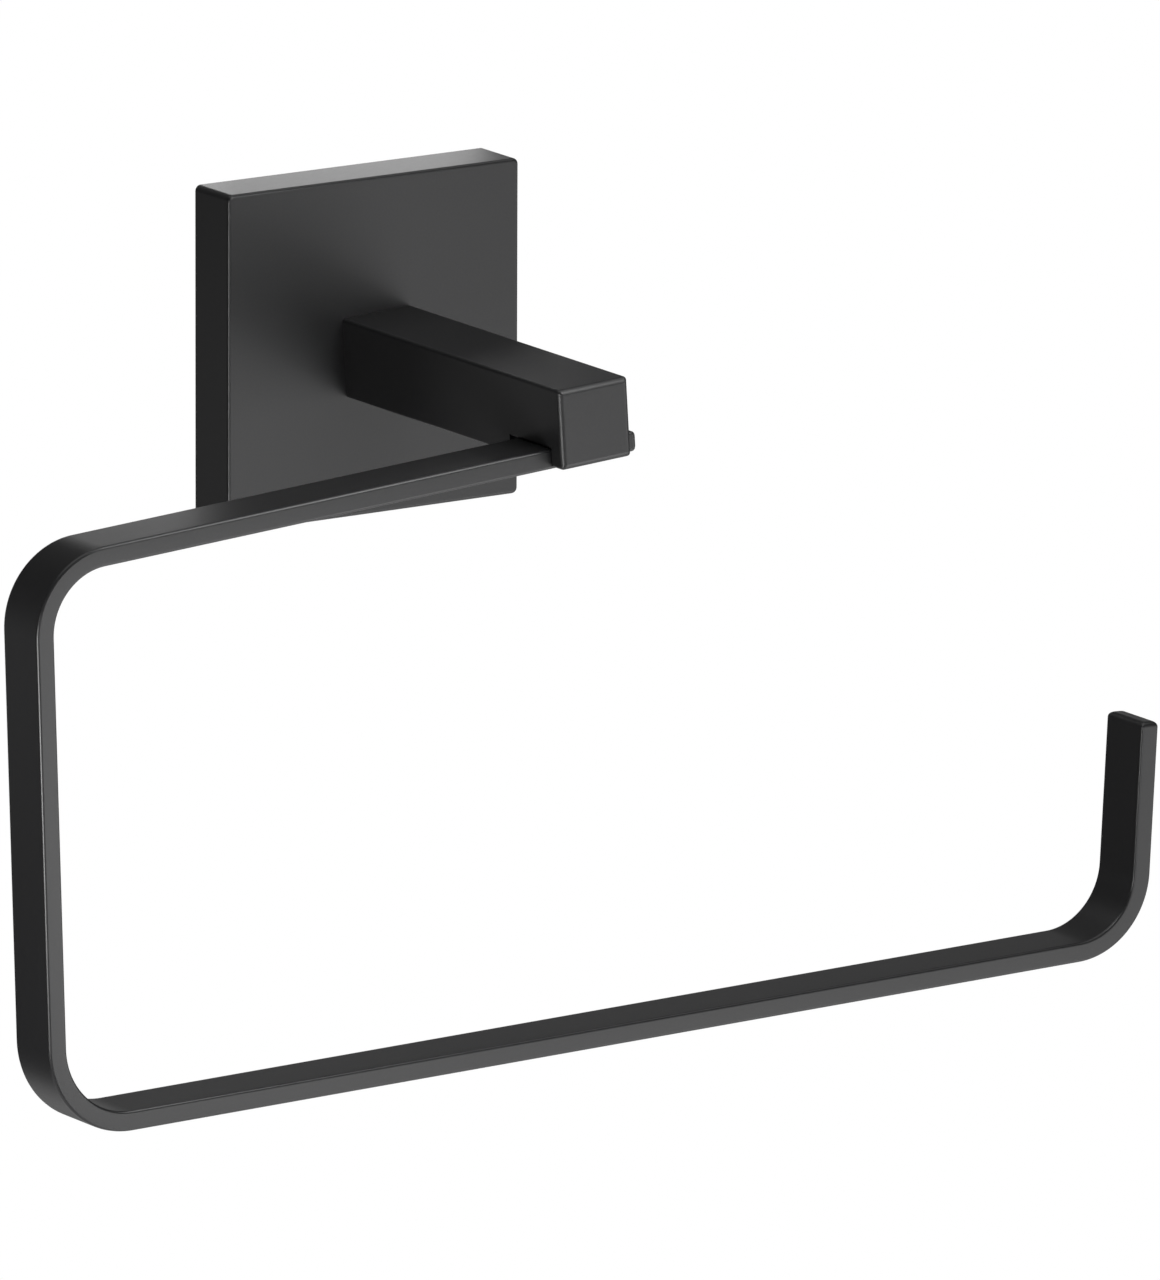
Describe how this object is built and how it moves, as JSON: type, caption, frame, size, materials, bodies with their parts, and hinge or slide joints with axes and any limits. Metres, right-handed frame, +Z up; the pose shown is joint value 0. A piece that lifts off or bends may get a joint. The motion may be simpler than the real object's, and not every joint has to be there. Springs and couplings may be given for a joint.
{
  "type": "towel ring",
  "caption": "Matte black wall-mounted towel ring: square wall plate, square post and a flat bar bent into a ring that is open at its upper right.",
  "frame": {"origin": "middle of the square wall plate on the wall's surface, which is also midway between the two wall screw holes", "axes": "+Y into the wall, so the post stands out towards -Y; +Z up; +X to the right seen from the front, towards the ring's open side"},
  "size_m": [0.1959, 0.0674, 0.1222],
  "materials": {
    "black_coat": "matte black powder coat",
    "black_screw": "black oxide",
    "plated_screw": "zinc plated",
    "spring_steel": "plain spring steel",
    "bracket_steel": "zinc plated sheet"
  },
  "bodies": {
    "root": {"wall_plate": "black_coat", "post": "black_coat", "ring": "black_coat", "post_screw": "plated_screw", "lock_washer": "spring_steel", "ring_screw": "black_screw", "wall_bracket": "bracket_steel", "grub_screw": "black_screw"}
  },
  "joints": []
}
